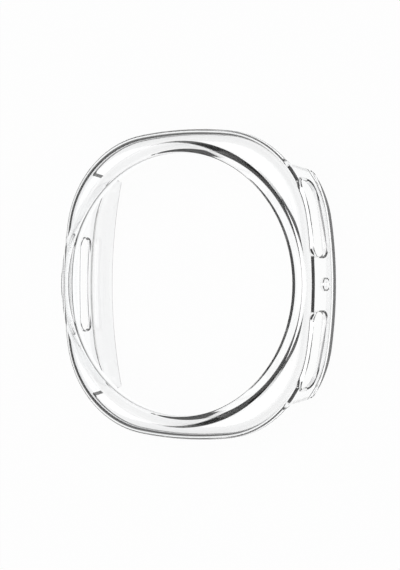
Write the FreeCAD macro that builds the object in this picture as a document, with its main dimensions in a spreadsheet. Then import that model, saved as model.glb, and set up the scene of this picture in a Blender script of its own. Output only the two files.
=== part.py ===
import FreeCAD, Part
import math
import os
import Sketcher
from FreeCAD import Vector

# Clear bumper case for a cushion-shaped smartwatch with a round display.
# The case lies on its rear rim: X points to 3 o'clock (the button side),
# Y points to 12 o'clock and Z points out of the display.
# The real case is one moulding. It is drawn whole first, and each named
# region of it is then taken out as a solid of its own.

# Driving sizes in millimetres.
SIZES = {
    "depth": 9.6,                 # rear rim to the crest of the display lip
    "half_width": 22.7,           # centre to the outside at 3 o'clock
    "extra_height": 1.3,          # how much farther the outside is at 12 o'clock
    "side_away": 43.3,            # centre to the centres of the long side arcs
    "end_away": 40.0,             # centre to the centres of the long end arcs
    "corner_inset": 6.4,          # how much less the corners' radius is than half the width
    "wall": 0.85,                 # wall thickness
    "plate_drop": 0.5,            # lip crest down to the face plate
    "ceiling_drop": 1.5,          # lip crest down to the inside of the plate
    "shoulder_radius": 2.4,       # outside rounding, plate into wall
    "crest_bevel": 1.8,           # bevel of the lip where it comes close to a side
    "cavity_bevel": 0.88,         # inside bevel, plate into wall
    "root_bevel": 0.3,            # inside bevel, wall into snap flange
    "rear_bevel": 0.35,           # outside bevel along the rear rim
    "opening_inset": 2.5,         # outside at 3 o'clock to the display opening
    "opening_flare": 0.58,        # how far the opening widens behind its land
    "opening_land": 0.9,          # depth of the opening's straight wall
    "crest_width": 1.15,          # width of the lip's flat crest
    "slope_width": 0.85,          # width of the lip's outer slope
    "skirt_drop": 3.2,            # lip crest down to the strap cut-outs
    "end_inset": 6.1,             # outside at 12 o'clock to the walls' ends
    "end_lean": 0.5,              # how much the walls' ends lean in at the rear
    "end_round": 1.0,             # rounding of a wall's rear corner
    "end_web": 0.6,               # rounding between wall end and skirt
    "flange": 0.8,                # thickness of the rear snap flange
    "flange_edge": 0.35,          # thickness of its inner edge
    "flange_reach": 4.4,          # outside at 9 o'clock to that inner edge
    "flange_away": 58.7,          # centre to the centre of that edge's arc
    "catch_reach": 2.05,          # outside at 3 o'clock to the narrower flange's inner edge
    "flange_inset": 1.2,          # from the outside to the flanges proper
    "near_share": 0.2628,         # button slots, nearer end as a share of the farther end
    "post_width": 2.3,            # wall's end to the slots' farther end
    "button_front": 2.95,         # lip crest down to the slots' front edge
    "button_height": 4.2,         # the slots' front edge to their rear edge
    "button_corner": 1.6,         # corner rounding of the slots
    "mic_radius": 0.9,            # microphone hole
    "mic_drop": 6.4,              # lip crest down to its axis
    "speaker_half": 7.6,          # speaker slot, centre to its end
    "speaker_rail": 1.53,         # rear rim to its rear edge
    "speaker_height": 2.47,       # its rear edge to its front edge
    "speaker_corner": 1.2,        # its corner rounding
    "cap_drop": 3.6,              # lip crest down to the foot of the front cap
    "reach": 30.0,                # well past the case in any direction
}

# Places that follow from them.
PLACES = {
    "half_height": "half_width + extra_height",
    "side_radius": "half_width + side_away",
    "end_radius": "half_height + end_away",
    "corner_radius": "half_width - corner_inset",
    "opening_front": "half_width - opening_inset",
    "opening_rear": "opening_front + opening_flare",
    "crest_outer": "opening_front + crest_width",
    "lip_foot": "crest_outer + slope_width",
    "end_front": "half_height - end_inset",
    "end_rear": "end_front - end_lean",
    "flange_half": "half_width - flange_reach",
    "flange_radius": "flange_half + flange_away",
    "catch_half": "half_width - catch_reach",
    "catch_radius": "catch_half + side_away",
    "button_far": "end_front - post_width",
    "button_near": "near_share*button_far",
    "button_top": "depth - button_front",
    "button_foot": "button_top - button_height",
    "speaker_top": "speaker_rail + speaker_height",
    "cap_foot": "depth - cap_drop",
}

# Angle of the snap flange's sloped front face, from the rear plane's normal.
FLANGE_SLOPE = 62.0
# Two positions closer than this share of the depth count as one.
SAME_share = 0.001

doc = FreeCAD.newDocument("bumper_case")
sheet = doc.addObject("Spreadsheet::Sheet", "Dims")
for row, (alias, value) in enumerate(SIZES.items(), start=1):
    sheet.set("A%d" % row, alias)
    sheet.set("B%d" % row, str(value))
    sheet.setAlias("B%d" % row, alias)
doc.recompute()


def amount(text):
    """Value of a sum of named sizes and places, such as 'depth - skirt_drop'. A share is 'share*place'."""
    total = 0.0
    sign = 1
    for word in text.split():
        if word in "+-":
            sign = 1 if word == "+" else -1
        elif "*" in word:
            share, of_what = word.split("*")
            total += sign * SIZES[share] * amount(of_what)
        elif word in PLACES:
            total += sign * amount(PLACES[word])
        elif word != "0":
            total += sign * SIZES[word]
    return total


def bound(text):
    """The same sum as an expression on the sheet."""
    words = []
    for word in text.split():
        if "*" in word:
            share, of_what = word.split("*")
            words.append("Dims.%s * (%s)" % (share, bound(of_what)))
        elif word in PLACES:
            words.append("(%s)" % bound(PLACES[word]))
        else:
            words.append(word if word in "+-0" else "Dims." + word)
    return " ".join(words)


NEAR = SAME_share * amount("depth")


def plane(body, role):
    for feature in body.Origin.OriginFeatures:
        if feature.Role == role:
            return feature
    raise RuntimeError("no plane " + role)


def new_sketch(body, name, role, lift="0"):
    sketch = body.newObject("Sketcher::SketchObject", name)
    sketch.AttachmentSupport = [(plane(body, role), "")]
    sketch.MapMode = "FlatFace"
    if lift != "0":
        sketch.setExpression("AttachmentOffset.Base.z", bound(lift))
    return sketch


def bind(sketch, constraint, text):
    """Adds a dimension and ties it to the sheet."""
    index = sketch.addConstraint(constraint)
    sketch.setExpression("Constraints[%d]" % index, text)


def pin(sketch, edge, point, across, up):
    """Holds a sketch point at two sums of named sizes."""
    for kind, text, axis in (("DistanceX", across, -2), ("DistanceY", up, -1)):
        value = amount(text)
        if text == "0":
            sketch.addConstraint(Sketcher.Constraint("PointOnObject", edge, point, axis))
        elif value > 0:
            bind(sketch, Sketcher.Constraint(kind, -1, 1, edge, point, value), bound(text))
        else:
            bind(sketch, Sketcher.Constraint(kind, edge, point, -1, 1, -value), "-(%s)" % bound(text))


def polygon(body, name, role, corners):
    """Closed polygon through corners given as sums of named sizes."""
    sketch = new_sketch(body, name, role)
    points = [Vector(amount(u), amount(v), 0) for u, v in corners]
    count = len(points)
    for i in range(count):
        sketch.addGeometry(Part.LineSegment(points[i], points[(i + 1) % count]), False)
    for i in range(count):
        sketch.addConstraint(Sketcher.Constraint("Coincident", i, 2, (i + 1) % count, 1))
    for i, (u, v) in enumerate(corners):
        pin(sketch, i, 1, u, v)
    return sketch


def corner_centre():
    """Centre of the corner arc that runs into both of the long arcs."""
    side_away = amount("side_away")
    end_away = amount("end_away")
    side = amount("side_radius - corner_radius")
    end = amount("end_radius - corner_radius")
    gap = math.hypot(side_away, end_away)
    along = (side * side - end * end + gap * gap) / (gap + gap)
    off = math.sqrt(side * side - along * along)
    ux = side_away / gap
    uy = -end_away / gap
    return Vector(-side_away + along * ux - off * uy, along * uy + off * ux, 0)


def cushion(body, name, inset="0", lift="0"):
    """Cushion outline of eight tangent arcs, moved inward by the inset."""
    sketch = new_sketch(body, name, "XY_Plane", lift)
    side_away = amount("side_away")
    end_away = amount("end_away")
    corner = corner_centre()
    low = math.atan2(corner.y, corner.x + side_away)
    high = math.atan2(corner.y + end_away, corner.x)
    turn = math.pi
    arcs = []
    for sx, sy, centre, kind, first, last, across, up in (
        (1, 1, Vector(-side_away, 0, 0), "side_radius", -low, low, "- side_away", "0"),
        (1, 1, corner, "corner_radius", low, high, "", ""),
        (1, 1, Vector(0, -end_away, 0), "end_radius", high, turn - high, "0", "- end_away"),
        (-1, 1, corner, "corner_radius", turn - high, turn - low, "", ""),
        (-1, 1, Vector(-side_away, 0, 0), "side_radius", turn - low, turn + low, "side_away", "0"),
        (-1, -1, corner, "corner_radius", turn + low, turn + high, "", ""),
        (1, -1, Vector(0, -end_away, 0), "end_radius", turn + high, turn + turn - high, "0", "end_away"),
        (1, -1, corner, "corner_radius", turn + turn - high, turn + turn - low, "", ""),
    ):
        place = Vector(sx * centre.x, sy * centre.y, 0)
        circle = Part.Circle(place, Vector(0, 0, 1), amount(kind) - amount(inset))
        sketch.addGeometry(Part.ArcOfCircle(circle, first, last), False)
        arcs.append((kind, across, up))
    for i in range(len(arcs)):
        sketch.addConstraint(Sketcher.Constraint("Tangent", i, 2, (i + 1) % len(arcs), 1))
    for i, (kind, across, up) in enumerate(arcs):
        text = "%s - %s" % (kind, inset) if inset != "0" else kind
        bind(sketch, Sketcher.Constraint("Radius", i, amount(kind) - amount(inset)), bound(text))
        if across:
            pin(sketch, i, 3, across, up)
    return sketch


def new_body(name):
    return doc.addObject("PartDesign::Body", name)


def pad(body, sketch, length, midplane=False, back=False, taper=0.0):
    feature = body.newObject("PartDesign::Pad", body.Name + "_pad")
    feature.Profile = sketch
    feature.setExpression("Length", bound(length))
    feature.Midplane = midplane
    feature.Reversed = back
    feature.TaperAngle = taper
    doc.recompute()
    return feature


def soften(body, base, amount_text, wanted, kind="Fillet", size="Radius"):
    """Rounds or bevels the edges of the last feature that the test picks out."""
    names = []
    for index, edge in enumerate(base.Shape.Edges, start=1):
        if wanted(edge.BoundBox):
            names.append("Edge%d" % index)
    if not names:
        raise RuntimeError("no edge to soften on " + body.Name)
    feature = body.newObject("PartDesign::" + kind, body.Name + "_" + kind.lower())
    feature.Base = (base, names)
    feature.setExpression(size, bound(amount_text))
    doc.recompute()
    return feature


def bevel(body, base, width, wanted):
    """The same edges with a flat bevel at 45 degrees."""
    return soften(body, base, width, wanted, "Chamfer", "Size")


def at_height(text):
    """Test for edges that lie flat at one height."""
    z = amount(text)
    return lambda box: abs(box.ZMin - z) < NEAR and abs(box.ZMax - z) < NEAR


def along_x(box):
    return box.XLength > NEAR and box.YLength < NEAR and box.ZLength < NEAR


def block(name, x_from, x_to, y_from, y_to, z_from, z_to):
    """Box between pairs of planes, each a sum of named sizes."""
    box = doc.addObject("Part::Box", name)
    spans = (("Length", "x", x_from, x_to), ("Width", "y", y_from, y_to), ("Height", "z", z_from, z_to))
    for size, axis, start, end in spans:
        box.setExpression(size, "(%s) - (%s)" % (bound(end), bound(start)))
        box.setExpression("Placement.Base." + axis, bound(start))
    return box


def common(name, *members):
    feature = doc.addObject("Part::MultiCommon", name)
    feature.Shapes = list(members)
    feature.Refine = True
    return feature


def fuse(name, *members):
    feature = doc.addObject("Part::MultiFuse", name)
    feature.Shapes = list(members)
    feature.Refine = True
    return feature


def cut(name, base, tool):
    feature = doc.addObject("Part::Cut", name)
    feature.Base = base
    feature.Tool = tool
    feature.Refine = True
    return feature


def mirrored(name, source, normal=Vector(0, 1, 0)):
    """Copy on the 6 o'clock side, or on the side that the normal tells."""
    feature = doc.addObject("Part::Mirroring", name)
    feature.Source = source
    feature.Normal = normal
    return feature


# The cushion that the case is carved from, its shoulder rounded.
blank = new_body("blank")
blank_pad = pad(blank, cushion(blank, "blank_outline"), "depth - plate_drop")
blank_top = soften(blank, blank_pad, "shoulder_radius", at_height("depth - plate_drop"))
bevel(blank, blank_top, "rear_bevel", at_height("0"))

# The raised lip around the display, turned about the display's axis.
lip = new_body("lip")
lip_section = polygon(lip, "lip_section", "XZ_Plane", (
    ("opening_rear", "depth - ceiling_drop"),
    ("opening_front", "depth - opening_land"),
    ("opening_front", "depth"),
    ("crest_outer", "depth"),
    ("lip_foot", "depth - plate_drop"),
    ("lip_foot", "depth - ceiling_drop"),
))
lip_turn = lip.newObject("PartDesign::Revolution", "lip_turn")
lip_turn.Profile = lip_section
lip_turn.ReferenceAxis = (lip_section, ["V_Axis"])
lip_turn.Angle = 360.0
doc.recompute()

# Where the lip comes close to the sides it slopes down to their rounding.
crest = new_body("crest")
crest_pad = pad(crest, cushion(crest, "crest_outline"), "depth")
bevel(crest, crest_pad, "crest_bevel", at_height("depth"))
lip_trimmed = common("lip_trimmed", lip, crest)

# The room for the watch body, its ceiling and feet bevelled.
cavity = new_body("cavity")
cavity_pad = pad(cavity, cushion(cavity, "cavity_outline", "wall", "flange"),
                 "depth - ceiling_drop - flange")
cavity_top = bevel(cavity, cavity_pad, "cavity_bevel", at_height("depth - ceiling_drop"))
bevel(cavity, cavity_top, "root_bevel", at_height("flange"))

# The round opening in the plate, inside the lip.
opening = doc.addObject("Part::Cylinder", "opening")
opening.setExpression("Radius", bound("opening_rear"))
opening.setExpression("Height", bound("reach"))
opening.setExpression("Placement.Base.z", bound("depth - ceiling_drop"))


def rear_outline(body, name, lift):
    """Rear opening: two shallow arcs joined by straight ends."""
    sketch = new_sketch(body, name, "XY_Plane", lift)
    tall = amount("reach")
    right_away, left_away = amount("side_away"), amount("flange_away")
    right_radius, left_radius = amount("catch_radius"), amount("flange_radius")
    right_lean = math.asin(tall / right_radius)
    left_lean = math.asin(tall / left_radius)
    right_edge = right_radius * math.cos(right_lean) - right_away
    left_edge = left_away - left_radius * math.cos(left_lean)
    right = Part.Circle(Vector(-right_away, 0, 0), Vector(0, 0, 1), right_radius)
    left = Part.Circle(Vector(left_away, 0, 0), Vector(0, 0, 1), left_radius)
    sketch.addGeometry(Part.ArcOfCircle(right, -right_lean, right_lean), False)
    sketch.addGeometry(Part.LineSegment(Vector(right_edge, tall, 0), Vector(left_edge, tall, 0)), False)
    sketch.addGeometry(Part.ArcOfCircle(left, math.pi - left_lean, math.pi + left_lean), False)
    sketch.addGeometry(Part.LineSegment(Vector(left_edge, -tall, 0), Vector(right_edge, -tall, 0)), False)
    for i in range(4):
        sketch.addConstraint(Sketcher.Constraint("Coincident", i, 2, (i + 1) % 4, 1))
    sketch.addConstraint(Sketcher.Constraint("Horizontal", 1))
    sketch.addConstraint(Sketcher.Constraint("Horizontal", 3))
    bind(sketch, Sketcher.Constraint("Radius", 0, right_radius), bound("catch_radius"))
    bind(sketch, Sketcher.Constraint("Radius", 2, left_radius), bound("flange_radius"))
    pin(sketch, 0, 3, "- side_away", "0")
    pin(sketch, 2, 3, "flange_away", "0")
    bind(sketch, Sketcher.Constraint("DistanceY", -1, 1, 1, 1, tall), bound("reach"))
    bind(sketch, Sketcher.Constraint("DistanceY", 3, 1, -1, 1, tall), bound("reach"))
    return sketch


# The rear is open between the two snap flanges, whose edges run out thin.
# The flange on the button side is narrower and follows its wall.
rear_gap = new_body("rear_gap")
pad(rear_gap, rear_outline(rear_gap, "rear_gap_outline", "0"), "flange")
rear_slope = new_body("rear_slope")
pad(rear_slope, rear_outline(rear_slope, "rear_slope_outline", "flange_edge"),
    "flange - flange_edge", taper=FLANGE_SLOPE)

# Side view that leaves the walls and opens the strap cut-outs.
side_view = new_body("side_view")
side_pad = pad(side_view, polygon(side_view, "side_view_outline", "YZ_Plane", (
    ("- end_rear", "0"),
    ("end_rear", "0"),
    ("end_front", "depth - skirt_drop"),
    ("reach", "depth - skirt_drop"),
    ("reach", "reach"),
    ("- reach", "reach"),
    ("- reach", "depth - skirt_drop"),
    ("- end_front", "depth - skirt_drop"),
)), "reach + reach", midplane=True)
rim_ends = soften(side_view, side_pad, "end_round",
                  lambda box: along_x(box) and abs(box.ZMin) < NEAR)
skirt = amount("depth - skirt_drop")
wall_limit = amount("end_front") + NEAR
soften(side_view, rim_ends, "end_web",
       lambda box: along_x(box) and abs(box.ZMin - skirt) < NEAR and abs(box.YMin) < wall_limit)


def side_slot(name, near, far, front, rear, corner, back=False):
    """Rounded slot through one side wall."""
    body = new_body(name)
    outline = polygon(body, name + "_outline", "YZ_Plane", (
        (near, rear),
        (far, rear),
        (far, front),
        (near, front),
    ))
    slot = pad(body, outline, "reach", back=back)
    soften(body, slot, corner, along_x)
    return body


button_upper = side_slot("button_upper", "button_near", "button_far",
                         "button_top", "button_foot", "button_corner")
button_lower = mirrored("button_lower", button_upper)
speaker = side_slot("speaker", "- speaker_half", "speaker_half",
                    "speaker_top", "speaker_rail", "speaker_corner", back=True)
mic = doc.addObject("Part::Cylinder", "mic")
mic.Placement = FreeCAD.Placement(Vector(0, 0, 0), FreeCAD.Rotation(Vector(0, 1, 0), 90))
mic.setExpression("Radius", bound("mic_radius"))
mic.setExpression("Height", bound("reach"))
mic.setExpression("Placement.Base.z", bound("depth - mic_drop"))

# The whole moulding.
plate = cut("plate", blank, fuse("hollows", cavity, opening, rear_gap, rear_slope))
with_lip = fuse("with_lip", plate, lip_trimmed)
inside_view = common("inside_view", with_lip, side_view)
moulding = cut("moulding", inside_view, fuse("slots", button_upper, button_lower, speaker, mic))

# The front cap and the two side walls.
wall_room = block("wall_room", "- reach", "reach", "- reach", "reach", "- reach", "cap_foot")
cap = cut("cap", moulding, wall_room)
walls = common("walls", moulding, wall_room)
lip_room = doc.addObject("Part::Cylinder", "lip_room")
lip_room.setExpression("Radius", bound("crest_outer"))
lip_room.setExpression("Height", bound("reach"))
rim = cut("rim", cap, lip_room)
flange_room = new_body("flange_room")
pad(flange_room, cushion(flange_room, "flange_room_outline", "flange_inset"), "flange + flange")
sides = cut("sides", walls, flange_room)
flanges = common("flanges", walls, flange_room)


def corner_wedge(body, name):
    """Wedge that holds one corner arc, between the seams where it runs into the long arcs."""
    sketch = new_sketch(body, name, "XY_Plane", "- reach")
    tip = corner_centre()
    far = amount("reach")
    side = Vector(-amount("side_away"), 0, 0)
    end = Vector(0, -amount("end_away"), 0)
    right = tip + (tip - side) * ((far - tip.x) / (tip.x - side.x))
    top = tip + (tip - end) * ((far - tip.y) / (tip.y - end.y))
    corner = Vector(far, far, 0)
    seams = (sketch.addGeometry(Part.LineSegment(side, tip), True),
             sketch.addGeometry(Part.LineSegment(end, tip), True))
    edges = []
    for start, stop in ((tip, right), (right, corner), (corner, top), (top, tip)):
        edges.append(sketch.addGeometry(Part.LineSegment(start, stop), False))
    for first, then in zip(edges, edges[1:] + edges[:1]):
        sketch.addConstraint(Sketcher.Constraint("Coincident", first, 2, then, 1))
    for seam, edge, away in zip(seams, (edges[0], edges[-1]), ("side", "end")):
        sketch.addConstraint(Sketcher.Constraint("Coincident", seam, 2, edges[0], 1))
        sketch.addConstraint(Sketcher.Constraint("Parallel", seam, edge))
        text = "%s_radius - corner_radius" % away
        bind(sketch, Sketcher.Constraint("Distance", seam, amount(text)), bound(text))
    pin(sketch, seams[0], 1, "- side_away", "0")
    pin(sketch, seams[1], 1, "0", "- end_away")
    pin(sketch, edges[1], 2, "reach", "reach")
    sketch.addConstraint(Sketcher.Constraint("Vertical", edges[1]))
    sketch.addConstraint(Sketcher.Constraint("Horizontal", edges[2]))
    return sketch


corner_room = new_body("corner_room")
pad(corner_room, corner_wedge(corner_room, "corner_room_outline"), "reach + reach")
corner_rooms = {
    "corner_top_right": corner_room,
    "corner_bottom_right": mirrored("corner_room_bottom_right", corner_room),
}
for place in ("top", "bottom"):
    corner_rooms["corner_%s_left" % place] = mirrored(
        "corner_room_%s_left" % place, corner_rooms["corner_%s_right" % place], Vector(1, 0, 0))
long_arcs = cut("long_arcs", rim, fuse("corner_rooms", *corner_rooms.values()))

NODES = []


def region(label, source, *limits):
    """One named region of the moulding."""
    feature = common(label, source, block(label + "_room", *limits))
    feature.Label = label
    NODES.append(feature)
    return feature


lip_node = common("display_lip", cap, lip_room)
NODES.append(lip_node)

low, high = "- reach", "reach"
region("strap_skirt_top", long_arcs, low, high, "end_rear", high, "0", high)
region("strap_skirt_bottom", long_arcs, low, high, low, "- end_rear", "0", high)
region("shoulder_left", long_arcs, low, "0", "- end_rear", "end_rear", "0", high)
region("shoulder_right", long_arcs, "0", high, "- end_rear", "end_rear", "0", high)
for label, room in corner_rooms.items():
    NODES.append(common(label, rim, room))

slot_near = "button_near + button_corner"
slot_far = "button_far - button_corner"
region("button_bridge", sides, "0", high, "- button_near - button_corner", slot_near, "0", "cap_foot")
region("end_post_top", sides, "0", high, slot_far, high, "0", "cap_foot")
region("end_post_bottom", sides, "0", high, low, "- button_far + button_corner", "0", "cap_foot")
region("rear_rail_top", sides, "0", high, slot_near, slot_far, "0", "cap_foot")
region("rear_rail_bottom", sides, "0", high, "- button_far + button_corner",
       "- button_near - button_corner", "0", "cap_foot")
region("snap_flange_right", flanges, "0", high, low, high, "0", high)

speaker_end = "speaker_half - speaker_corner"
region("left_wall_top", sides, low, "0", speaker_end, high, "0", "cap_foot")
region("left_wall_bottom", sides, low, "0", low, "- speaker_half + speaker_corner", "0", "cap_foot")
region("speaker_rail_front", sides, low, "0", "- speaker_half + speaker_corner", speaker_end,
       "speaker_top", "cap_foot")
region("speaker_rail_rear", sides, low, "0", "- speaker_half + speaker_corner", speaker_end,
       "0", "speaker_top")
region("snap_flange_left", flanges, low, "0", low, high, "0", high)

doc.recompute()

for item in doc.Objects:
    if "Invalid" in item.State or "Error" in item.State:
        raise RuntimeError("failed: %s %s" % (item.Name, item.State))
total = 0.0
for node in NODES:
    shape = node.Shape
    if shape.isNull() or not shape.isValid() or len(shape.Solids) != 1:
        raise RuntimeError("bad shape: %s, %d solids" % (node.Label, len(shape.Solids)))
    total += shape.Volume
    box = shape.BoundBox
    print("%-22s %8.2f mm3  X %.2f %.2f  Y %.2f %.2f  Z %.2f %.2f" % (
        node.Label, shape.Volume, box.XMin, box.XMax, box.YMin, box.YMax, box.ZMin, box.ZMax))
print("regions %.3f mm3, whole moulding %.3f mm3" % (total, moulding.Shape.Volume))

os.makedirs("parts", exist_ok=True)
for node in NODES:
    node.Shape.exportStep("parts/%s.step" % node.Label)
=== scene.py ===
import math
import bmesh
import bpy
import numpy as np
from mathutils import Matrix, Vector

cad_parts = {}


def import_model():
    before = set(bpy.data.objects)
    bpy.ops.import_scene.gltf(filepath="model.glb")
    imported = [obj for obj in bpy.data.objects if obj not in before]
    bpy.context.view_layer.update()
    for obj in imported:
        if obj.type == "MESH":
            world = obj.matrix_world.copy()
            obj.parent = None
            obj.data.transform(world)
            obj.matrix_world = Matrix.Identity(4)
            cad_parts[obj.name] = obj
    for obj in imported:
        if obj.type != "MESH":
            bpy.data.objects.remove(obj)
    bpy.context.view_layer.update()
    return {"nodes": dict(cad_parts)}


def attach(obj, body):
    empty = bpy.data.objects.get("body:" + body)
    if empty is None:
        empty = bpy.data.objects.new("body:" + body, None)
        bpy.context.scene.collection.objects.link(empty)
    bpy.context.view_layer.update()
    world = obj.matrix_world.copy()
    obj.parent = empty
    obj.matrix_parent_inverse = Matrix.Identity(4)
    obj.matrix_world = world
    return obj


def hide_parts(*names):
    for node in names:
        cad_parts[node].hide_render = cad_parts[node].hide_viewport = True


# Clear bumper case for a cushion-shaped smartwatch with a round display.
# X points to 3 o'clock (the button side), Y to 12 o'clock and Z out of the display.
# The shell is built in millimetres from its rear rim, and finish_mesh takes it to metres.

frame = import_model()

MM = 0.001

# Outline: radii of the long side arcs, the long end arcs and the corners, and how far the centres lie away
SIDE_R, END_R, CORNER_R = 66.0, 64.0, 16.3
SIDE_AWAY, END_AWAY = 43.3, 40.0
COLUMN_STEP = 0.35
LEAST_COLUMNS = 4

# Heights above the rear rim: lip's crest, face plate, its inside and the skirts over the strap
DEPTH = 9.6
PLATE = 9.1
CEILING = 8.1
SKIRT = 6.4

# Walls and roundings
WALL = 0.85
FLANGE = 0.8
REAR_R = 0.15
ROOT_R = 0.4
SHOULDER_R = 2.4
CREST_R = 1.8
CAVITY_R, CAVITY_SIDE_R = 1.5, 1.2
SMALL_STEPS, CAVITY_STEPS, LARGE_STEPS = 9, 19, 25

# Lip: radii of its inner wall, of the undercut behind it, of the crest's start and of the dome's foot
LIP_INNER, LIP_REAR, LIP_TOP, LIP_FOOT = 20.2, 20.78, 20.5, 22.04
LIP_EDGE_R = 0.2
RIM_PAST, RIM_DROP, UNDERCUT_DROP = 0.06, 0.6, 0.1
EDGE_STEPS, DOME_STEPS = 4, 10
HOLE_FROM, HOLE_TO = 5.9, 10.5
CREST_FROM = 2.0
SINK = 0.002
ROUND_COUNT = 420

# Rear opening: where each flange's inner edge is, its arc's centre, its thickness and its front face's slope
CATCH_HALF, CATCH_AWAY, CATCH_EDGE, CATCH_SLOPE = 20.65, SIDE_AWAY, 0.35, 62.0
FLANGE_HALF, FLANGE_AWAY, FLANGE_EDGE, FLANGE_SLOPE = 18.3, 58.7, 0.06, 74.0
GAP_BELOW, GAP_ABOVE = 1.0, 0.2
GAP_COUNT = 121

# Ends of the side walls beside the strap
END_FRONT, END_REAR = 17.9, 17.4
END_WEB, END_ROUND = 0.6, 1.0
WEB_STEPS, ROUND_STEPS = 11, 13
STRAP_BELOW = 2.0
REACH = 30.0

# Holes through the side walls
SLOT_NEAR, SLOT_FAR, SLOT_FOOT, SLOT_TOP, SLOT_R = 4.1, 15.6, 2.45, 6.65, 1.6
SPEAKER_HALF, SPEAKER_FOOT, SPEAKER_TOP, SPEAKER_R = 7.6, 1.53, 4.0, 1.2
MIC_R, MIC_HEIGHT, MIC_EDGE_R, MIC_COUNT = 0.9, 3.2, 0.1, 48
OUTER_EDGE_R, INNER_EDGE_R = 0.22, 0.12
HOLE_STEPS, CORNER_STEPS = 7, 14
NEAR_OVER, FAR_OVER = 0.5, 1.5

# Mesh clean-up, in millimetres and degrees
MERGE, THIN_EDGE = 0.0008, 0.0005
SHARP_ANGLE = 24.0
NORMAL_WEIGHT = 80

# Plastic: two close tints, the size of their clouds and of the surface's waves, per metre
TINTS = ((0.3, (0.985, 0.99, 0.994, 1)), (0.7, (0.995, 0.997, 0.999, 1)))
CLOUD_SCALE, WAVE_SCALE = 70.0, 160.0
WAVE, WAVE_DEPTH = 0.15, 0.0001
POLISH, INDEX = 0.02, 1.58

# Studio
FLOOR_GLOW = 0.96
FLOOR_GREY = 0.9
FLOOR_HALF, FLOOR_DROP = 3, 0.0001
LAMP_HEIGHT, LAMP_SIZE, LAMP_POWER = 0.8, 1.2, 4.0
# Grey of the room over height: 0 is straight down, 0.5 the horizon, 1 straight up
ROOM = ((0.0, 1.0), (0.6, 1.0), (0.7, 0.05), (0.8, 0.05), (0.85, 0.4))
ROOM_LED = ((0.0, 1.0), (0.2, 1.0), (0.3, 0.02))
ROOM_LED_TWICE = ((0.0, 0.9), (0.2, 0.9), (0.3, 0.02))

# Camera: degrees off the display's axis, metres from its crest, and the photograph's frame in pixels
YAW, DISTANCE = 32.2, 0.242
PHOTO_WIDTH, PHOTO_HEIGHT = 400, 570
FOCAL_PIXELS, CENTRE_X, CENTRE_Y = 1577.0, 175.2, 284.3
SENSOR = 36.0
CLIP_NEAR, CLIP_FAR = 0.001, 20


def quarter(count):
    """Angles of a quarter turn, in radians."""
    return np.radians(np.linspace(0, 90, count))


def foot_round(r, count, wall=0.0, floor=0.0):
    """Profile of a rounded lower edge, from its foot up."""
    return [(wall + r - r * math.sin(a), floor + r - r * math.cos(a)) for a in quarter(count)]


def top_round(r, top, count, wall=0.0):
    """Profile of a rounded upper edge, up to its top."""
    return [(wall + r - r * math.cos(a), top - r + r * math.sin(a)) for a in quarter(count)]


def arc(cu, cv, r, start, stop, count):
    """Points of a profile arc, angles in degrees."""
    t = np.radians(np.linspace(start, stop, count + 1))
    return [(cu + r * math.cos(a), cv + r * math.sin(a)) for a in t]


def circle(r, count, cu=0.0, cv=0.0):
    """Points of a whole circle."""
    t = np.linspace(0, 2 * math.pi, count, endpoint=False)
    return [(cu + r * math.cos(a), cv + r * math.sin(a)) for a in t]


def rounded_rect(u0, u1, v0, v1, r):
    """Outline of a rectangle with rounded corners."""
    corners = ((u1 - r, v1 - r, 0), (u0 + r, v1 - r, 90), (u0 + r, v0 + r, 180), (u1 - r, v0 + r, 270))
    pts = []
    for cu, cv, a in corners:
        pts += arc(cu, cv, r, a, a + 90, CORNER_STEPS)
    return pts


def corner_centre():
    """Centre of the upper right corner arc, which touches a side arc and an end arc."""
    side = SIDE_R - CORNER_R
    end = END_R - CORNER_R
    gap = math.hypot(SIDE_AWAY, END_AWAY)
    along = (side * side - end * end + gap * gap) / (2 * gap)
    off = math.sqrt(side * side - along * along)
    ux, uy = SIDE_AWAY / gap, -END_AWAY / gap
    return -SIDE_AWAY + along * ux - off * uy, along * uy + off * ux


def cushion_columns():
    """Centre, radius and direction of every column of the cushion outline."""
    cx, cy = corner_centre()
    low = math.atan2(cy, cx + SIDE_AWAY)
    high = math.atan2(cy + END_AWAY, cx)
    pi = math.pi
    arcs = (
        (-SIDE_AWAY, 0, SIDE_R, -low, low),
        (cx, cy, CORNER_R, low, high),
        (0, -END_AWAY, END_R, high, pi - high),
        (-cx, cy, CORNER_R, pi - high, pi - low),
        (SIDE_AWAY, 0, SIDE_R, pi - low, pi + low),
        (-cx, -cy, CORNER_R, pi + low, pi + high),
        (0, END_AWAY, END_R, pi + high, 2 * pi - high),
        (cx, -cy, CORNER_R, 2 * pi - high, 2 * pi - low),
    )
    rows = []
    for x, y, r, a, b in arcs:
        count = max(LEAST_COLUMNS, int(round(r * (b - a) / COLUMN_STEP)))
        for i in range(count):
            t = a + (b - a) * i / count
            rows.append((x, y, r, math.cos(t), math.sin(t)))
    return np.array(rows)


COLUMNS = cushion_columns()


def edge_x(y):
    """How far out the cushion's 3 o'clock side is at y."""
    cx, cy = corner_centre()
    seam = SIDE_R * math.sin(math.atan2(cy, cx + SIDE_AWAY))
    y = np.abs(np.asarray(y, dtype=float))
    side = np.sqrt(SIDE_R ** 2 - y ** 2) - SIDE_AWAY
    corner = cx + np.sqrt(np.maximum(CORNER_R ** 2 - (y - cy) ** 2, 0))
    return np.where(y < seam, side, corner)


def new_object(name, verts, faces):
    mesh = bpy.data.meshes.new(name)
    mesh.from_pydata([tuple(v) for v in verts], [], faces)
    mesh.update()
    obj = bpy.data.objects.new(name, mesh)
    bpy.context.scene.collection.objects.link(obj)
    return obj


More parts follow.
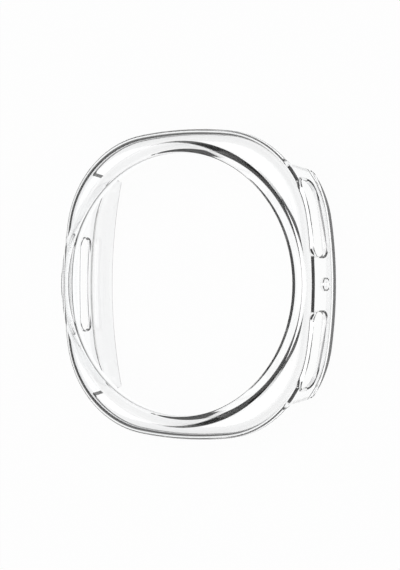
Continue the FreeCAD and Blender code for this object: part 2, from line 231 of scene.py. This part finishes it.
def ring_solid(name, rings):
    """Closed solid from a stack of equal rings of points, capped at both ends."""
    n = len(rings[0])
    verts = np.concatenate(rings)
    faces = []
    for k in range(len(rings) - 1):
        a, b = k * n, (k + 1) * n
        for i in range(n):
            j = (i + 1) % n
            faces.append((a + i, a + j, b + j, b + i))
    faces.append(tuple(range(n - 1, -1, -1)))
    top = (len(rings) - 1) * n
    faces.append(tuple(range(top, top + n)))
    return new_object(name, verts, faces)


def cushion_solid(name, profile):
    """Cushion whose outline is moved inward by the profile's first value, at its second as height."""
    rings = []
    x, y, r, c, s = COLUMNS.T
    for inset, z in profile:
        rings.append(np.stack([x + (r - inset) * c, y + (r - inset) * s, z + 0 * x], axis=1))
    return ring_solid(name, rings)


def turned_solid(name, profile):
    """Ring turned about the display's axis from a closed profile of radius and height."""
    t = np.linspace(0, 2 * math.pi, ROUND_COUNT, endpoint=False)
    loops = [np.stack([r * np.cos(t), r * np.sin(t), np.full(ROUND_COUNT, z)], axis=1) for r, z in profile]
    faces = []
    m = len(profile)
    for k in range(m):
        a, b = k * ROUND_COUNT, ((k + 1) % m) * ROUND_COUNT
        for i in range(ROUND_COUNT):
            j = (i + 1) % ROUND_COUNT
            faces.append((a + i, a + j, b + j, b + i))
    return new_object(name, np.concatenate(loops), faces)


def extruded(name, outline, axis, start, stop):
    """Solid from a closed outline in the two other axes, between two planes of the axis x or z."""
    rings = []
    for v in (start, stop):
        rings.append(np.array([(v, a, b) if axis == "x" else (a, b, v) for a, b in outline]))
    return ring_solid(name, rings)


def through_wall(name, outline, sign, outer=OUTER_EDGE_R, inner=INNER_EDGE_R):
    """Cutter that rounds a hole's edges at a side wall; the outline is a function of how much it grows."""
    turns = quarter(HOLE_STEPS)
    inside = [(-FAR_OVER, inner), (-NEAR_OVER, inner)]
    inside += [(inner * math.sin(a), inner * (1 - math.sin(a))) for a in turns]
    stations = [(WALL - depth, grow) for depth, grow in inside]
    stations += [(outer * math.cos(a), outer * (1 - math.cos(a))) for a in turns]
    stations += [(-NEAR_OVER, outer), (-FAR_OVER, outer)]
    rings = []
    for inset, grow in stations:
        pts = np.array(outline(grow))
        x = edge_x(pts[:, 0]) - inset
        rings.append(np.stack([sign * x, pts[:, 0], pts[:, 1]], axis=1))
    return ring_solid(name, rings)


def face_outward(obj):
    bm = bmesh.new()
    bm.from_mesh(obj.data)
    bmesh.ops.recalc_face_normals(bm, faces=bm.faces)
    bm.to_mesh(obj.data)
    bm.free()


def boolean(base, tool, operation):
    """Applies one Boolean step to the base and drops the tool."""
    face_outward(tool)
    mod = base.modifiers.new("step", "BOOLEAN")
    mod.object = tool
    mod.operation = operation
    mod.solver = "MANIFOLD"
    graph = bpy.context.evaluated_depsgraph_get()
    result = bpy.data.meshes.new_from_object(base.evaluated_get(graph))
    base.modifiers.clear()
    old = base.data
    base.data = result
    bpy.data.meshes.remove(old)
    bpy.data.objects.remove(tool)
    return base


# The shell
def hollow_cushion():
    """Cushion with its inside taken out; the inner rounding is tighter along the side walls."""
    outside = foot_round(REAR_R, SMALL_STEPS) + top_round(SHOULDER_R, PLATE, LARGE_STEPS)
    blank = cushion_solid("blank", outside)
    face_outward(blank)
    cavity_r = CAVITY_R + (CAVITY_SIDE_R - CAVITY_R) * COLUMNS[:, 3] ** 2
    inside = foot_round(ROOT_R, SMALL_STEPS, WALL, FLANGE)
    inside += top_round(cavity_r, CEILING, CAVITY_STEPS, WALL)
    return boolean(blank, cushion_solid("cavity", inside), "DIFFERENCE")


def cut_rear_opening(shell):
    """Rear opening between the two snap flanges, which get thinner towards their edges."""
    edges = ((-CATCH_AWAY, CATCH_HALF + CATCH_AWAY, 1, CATCH_EDGE, CATCH_SLOPE),
             (FLANGE_AWAY, FLANGE_HALF + FLANGE_AWAY, -1, FLANGE_EDGE, FLANGE_SLOPE))
    rings = []
    for level in range(4):
        pts = []
        for centre, radius, side, edge, slope in edges:
            z = (-GAP_BELOW, edge, FLANGE, FLANGE + GAP_ABOVE)[level]
            out = radius + max(z - edge, 0.0) * math.tan(math.radians(slope))
            lean = math.asin(REACH / radius)
            for a in np.linspace(-lean, lean, GAP_COUNT):
                pts.append((centre + side * out * math.cos(a), side * out * math.sin(a), z))
        rings.append(np.array(pts))
    return boolean(shell, ring_solid("gap", rings), "DIFFERENCE")


def lip_profile():
    """Rim under the lip, undercut inner wall, rounded inner edge and the domed crest down to the plate."""
    drop = DEPTH - PLATE + SINK
    dome_r = ((LIP_FOOT - LIP_TOP) ** 2 + drop ** 2) / (2 * drop)
    dome = math.degrees(math.asin((LIP_FOOT - LIP_TOP) / dome_r))
    rim = [(LIP_FOOT + RIM_PAST, CEILING), (LIP_REAR, CEILING - RIM_DROP)]
    rim += [(LIP_INNER, CEILING - UNDERCUT_DROP)]
    edge = arc(LIP_INNER + LIP_EDGE_R, DEPTH - LIP_EDGE_R, LIP_EDGE_R, 180, 90, EDGE_STEPS)
    crest = arc(LIP_TOP, DEPTH - dome_r, dome_r, 90, 90 - dome, DOME_STEPS)
    return rim + edge + crest + [(LIP_FOOT, CEILING)]


def add_lip(shell):
    """Proud lip around the display, which follows the cushion where it comes close to the sides."""
    crest = cushion_solid("crest", [(0.0, CREST_FROM)] + top_round(CREST_R, DEPTH, LARGE_STEPS))
    lip = turned_solid("lip", lip_profile())
    face_outward(lip)
    lip = boolean(lip, crest, "INTERSECT")
    return boolean(shell, lip, "UNION")


def cut_strap_side(shell, sign):
    """Takes the wall away over the strap: rounded rear corner, leaning wall end, and web below the skirt."""
    pts = [(END_REAR - END_ROUND, -STRAP_BELOW)]
    pts += [(END_REAR - END_ROUND + END_ROUND * math.sin(a), END_ROUND - END_ROUND * math.cos(a))
            for a in quarter(ROUND_STEPS)]
    pts += top_round(END_WEB, SKIRT, WEB_STEPS, END_FRONT)
    pts += [(REACH, SKIRT), (REACH, -STRAP_BELOW)]
    cutter = extruded("strap", [(sign * y, z) for y, z in pts], "x", -REACH, REACH)
    return boolean(shell, cutter, "DIFFERENCE")


def button_slot(sign):
    y0, y1 = sorted((sign * SLOT_NEAR, sign * SLOT_FAR))

    def outline(grow):
        return rounded_rect(y0 - grow, y1 + grow, SLOT_FOOT - grow, SLOT_TOP + grow, SLOT_R + grow)
    return through_wall("slot", outline, 1)


def speaker_slot():
    def outline(grow):
        end = SPEAKER_HALF + grow
        return rounded_rect(-end, end, SPEAKER_FOOT - grow, SPEAKER_TOP + grow, SPEAKER_R + grow)
    return through_wall("slot", outline, -1)


def microphone_hole():
    def outline(grow):
        return circle(MIC_R + grow, MIC_COUNT, 0.0, MIC_HEIGHT)
    return through_wall("mic", outline, 1, MIC_EDGE_R, MIC_EDGE_R)


def build_shell():
    """The whole moulding, as one shell without seams."""
    shell = hollow_cushion()
    hole = extruded("hole", circle(LIP_REAR, ROUND_COUNT), "z", HOLE_FROM, HOLE_TO)
    shell = boolean(shell, hole, "DIFFERENCE")
    shell = cut_rear_opening(shell)
    shell = add_lip(shell)
    for sign in (1, -1):
        shell = cut_strap_side(shell, sign)
    for cutter in (button_slot(1), button_slot(-1), speaker_slot(), microphone_hole()):
        shell = boolean(shell, cutter, "DIFFERENCE")
    return shell


def finish_mesh(obj):
    """Merges stray points, marks hard edges and gives smooth normals led by the larger faces."""
    bm = bmesh.new()
    bm.from_mesh(obj.data)
    bmesh.ops.remove_doubles(bm, verts=bm.verts, dist=MERGE)
    bmesh.ops.dissolve_degenerate(bm, edges=bm.edges, dist=THIN_EDGE)
    bmesh.ops.scale(bm, vec=(MM, MM, MM), verts=bm.verts)
    open_edges = sum(1 for e in bm.edges if len(e.link_faces) != 2)
    print("shell faces", len(bm.faces), "edges not shared by two faces", open_edges)
    for face in bm.faces:
        face.smooth = True
    for edge in bm.edges:
        if len(edge.link_faces) == 2:
            edge.smooth = edge.calc_face_angle(0.0) < math.radians(SHARP_ANGLE)
    bm.to_mesh(obj.data)
    bm.free()
    mod = obj.modifiers.new("normals", "WEIGHTED_NORMAL")
    mod.mode = "FACE_AREA_WITH_ANGLE"
    mod.weight = NORMAL_WEIGHT
    mod.keep_sharp = True


# Materials
def set_ramp(ramp, steps):
    """Fills a colour ramp with stops of position and colour."""
    for i, (at, color) in enumerate(steps):
        stop = ramp.elements[i] if i < 2 else ramp.elements.new(at)
        stop.position = at
        stop.color = color


def noise(nodes, scale, detail):
    node = nodes.new("ShaderNodeTexNoise")
    node.inputs["Scale"].default_value = scale
    node.inputs["Detail"].default_value = detail
    return node


def clear_plastic():
    """Water-clear plastic whose tint and surface vary a little, as a moulded sheet's do."""
    mat = bpy.data.materials.new("clear_plastic")
    mat.use_nodes = True
    nodes = mat.node_tree.nodes
    links = mat.node_tree.links
    bsdf = nodes["Principled BSDF"]
    place = nodes.new("ShaderNodeTexCoord")
    cloud = noise(nodes, CLOUD_SCALE, 2.0)
    tint = nodes.new("ShaderNodeValToRGB")
    set_ramp(tint.color_ramp, TINTS)
    wave = noise(nodes, WAVE_SCALE, 1.0)
    bump = nodes.new("ShaderNodeBump")
    bump.inputs["Strength"].default_value = WAVE
    bump.inputs["Distance"].default_value = WAVE_DEPTH
    links.new(place.outputs["Object"], cloud.inputs["Vector"])
    links.new(cloud.outputs["Fac"], tint.inputs[0])
    links.new(tint.outputs[0], bsdf.inputs["Base Color"])
    links.new(place.outputs["Object"], wave.inputs["Vector"])
    links.new(wave.outputs["Fac"], bump.inputs["Height"])
    links.new(bump.outputs[0], bsdf.inputs["Normal"])
    bsdf.inputs["Roughness"].default_value = POLISH
    bsdf.inputs["IOR"].default_value = INDEX
    bsdf.inputs["Transmission Weight"].default_value = 1.0
    return mat


def math_node(nodes, links, operation, a, b, clamp=False):
    """Output of one Math node, whose inputs are numbers or other outputs."""
    node = nodes.new("ShaderNodeMath")
    node.operation = operation
    node.use_clamp = clamp
    for socket, value in zip(node.inputs, (a, b)):
        if isinstance(value, float):
            socket.default_value = value
        else:
            links.new(value, socket)
    return node.outputs[0]


def mix_node(nodes, links, share, first, second):
    node = nodes.new("ShaderNodeMixShader")
    links.new(share, node.inputs[0])
    links.new(first, node.inputs[1])
    links.new(second, node.inputs[2])
    return node.outputs[0]


def guided(nodes, links, path, count):
    """1 for light that has left the plastic after at least so many reflections inside it."""
    bounced = math_node(nodes, links, "GREATER_THAN", path.outputs["Glossy Depth"], count - 0.5)
    through = math_node(nodes, links, "GREATER_THAN", path.outputs["Transmission Depth"], 0.5)
    return math_node(nodes, links, "MULTIPLY", bounced, through)


def floor_material():
    """White paper to the camera and through the plastic; light led along inside the plastic sees past it."""
    mat = bpy.data.materials.new("floor_white")
    mat.use_nodes = True
    nodes = mat.node_tree.nodes
    links = mat.node_tree.links
    nodes.clear()
    out = nodes.new("ShaderNodeOutputMaterial")
    diffuse = nodes.new("ShaderNodeBsdfDiffuse")
    glow = nodes.new("ShaderNodeEmission")
    clear = nodes.new("ShaderNodeBsdfTransparent")
    path = nodes.new("ShaderNodeLightPath")
    diffuse.inputs["Color"].default_value = (FLOOR_GREY, FLOOR_GREY, FLOOR_GREY, 1)
    seen = math_node(nodes, links, "ADD", path.outputs["Is Camera Ray"], path.outputs["Is Glossy Ray"])
    seen = math_node(nodes, links, "ADD", seen, path.outputs["Is Transmission Ray"], True)
    share = math_node(nodes, links, "MULTIPLY", seen, FLOOR_GLOW)
    paper = mix_node(nodes, links, share, diffuse.outputs[0], glow.outputs[0])
    led = guided(nodes, links, path, 1)
    links.new(mix_node(nodes, links, led, paper, clear.outputs[0]), out.inputs["Surface"])
    return mat


# The studio
def lay_floor():
    h = FLOOR_HALF
    floor = new_object("floor", [(-h, -h, 0), (h, -h, 0), (h, h, 0), (-h, h, 0)], [(0, 1, 2, 3)])
    floor.location.z = -FLOOR_DROP
    floor.data.materials.append(floor_material())


def sky(nodes, links, height, steps):
    """Background whose grey follows the height of the direction, from straight down to straight up."""
    ramp = nodes.new("ShaderNodeValToRGB")
    links.new(height, ramp.inputs[0])
    set_ramp(ramp.color_ramp, [(at, (grey, grey, grey, 1)) for at, grey in steps])
    back = nodes.new("ShaderNodeBackground")
    links.new(ramp.outputs[0], back.inputs["Color"])
    return back.outputs[0]


def world():
    """White to the camera; around the case a room whose grey depends on how the light left the plastic."""
    w = bpy.data.worlds.new("studio")
    bpy.context.scene.world = w
    w.use_nodes = True
    nodes = w.node_tree.nodes
    links = w.node_tree.links
    nodes.clear()
    out = nodes.new("ShaderNodeOutputWorld")
    tex = nodes.new("ShaderNodeTexCoord")
    sep = nodes.new("ShaderNodeSeparateXYZ")
    path = nodes.new("ShaderNodeLightPath")
    links.new(tex.outputs["Generated"], sep.inputs[0])
    half = math_node(nodes, links, "MULTIPLY", sep.outputs["Z"], 0.5)
    height = math_node(nodes, links, "ADD", half, 0.5)
    room = sky(nodes, links, height, ROOM)
    for count, steps in ((1, ROOM_LED), (2, ROOM_LED_TWICE)):
        led = guided(nodes, links, path, count)
        room = mix_node(nodes, links, led, room, sky(nodes, links, height, steps))
    white = nodes.new("ShaderNodeBackground")
    white.inputs["Color"].default_value = (1, 1, 1, 1)
    seen = mix_node(nodes, links, path.outputs["Is Camera Ray"], room, white.outputs[0])
    links.new(seen, out.inputs["Surface"])


def lamp():
    """One large soft disk over the case, shining straight down."""
    data = bpy.data.lights.new("key", "AREA")
    data.shape = "DISK"
    data.size = LAMP_SIZE
    data.energy = LAMP_POWER
    obj = bpy.data.objects.new("key", data)
    bpy.context.scene.collection.objects.link(obj)
    obj.location = (0, 0, LAMP_HEIGHT)


def camera():
    """The photograph's view, turned off the display's axis towards 3 o'clock, with 12 o'clock up."""
    yaw = math.radians(YAW)
    data = bpy.data.cameras.new("camera")
    obj = bpy.data.objects.new("camera", data)
    bpy.context.scene.collection.objects.link(obj)
    out = Vector((math.sin(yaw), 0, math.cos(yaw)))
    centre = Vector((0, 0, DEPTH * MM))
    right = Vector((math.cos(yaw), 0, -math.sin(yaw)))
    up = Vector((0, 1, 0))
    turn = Matrix((right, up, out)).transposed().to_4x4()
    obj.matrix_world = Matrix.Translation(centre + out * DISTANCE) @ turn
    data.sensor_fit = "VERTICAL"
    data.sensor_height = SENSOR
    data.lens = FOCAL_PIXELS * SENSOR / PHOTO_HEIGHT
    # The display's centre is a little left of the frame's centre.
    data.shift_x = (PHOTO_WIDTH / 2 - CENTRE_X) / PHOTO_HEIGHT
    data.shift_y = (CENTRE_Y - PHOTO_HEIGHT / 2) / PHOTO_HEIGHT
    data.clip_start = CLIP_NEAR
    data.clip_end = CLIP_FAR
    bpy.context.scene.camera = obj


shell = build_shell()
finish_mesh(shell)
shell.name = "case_shell"
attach(shell, "root")
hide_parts(*frame["nodes"])
shell.data.materials.clear()
shell.data.materials.append(clear_plastic())

lay_floor()
world()
lamp()
camera()
bpy.context.scene.view_settings.view_transform = "Standard"
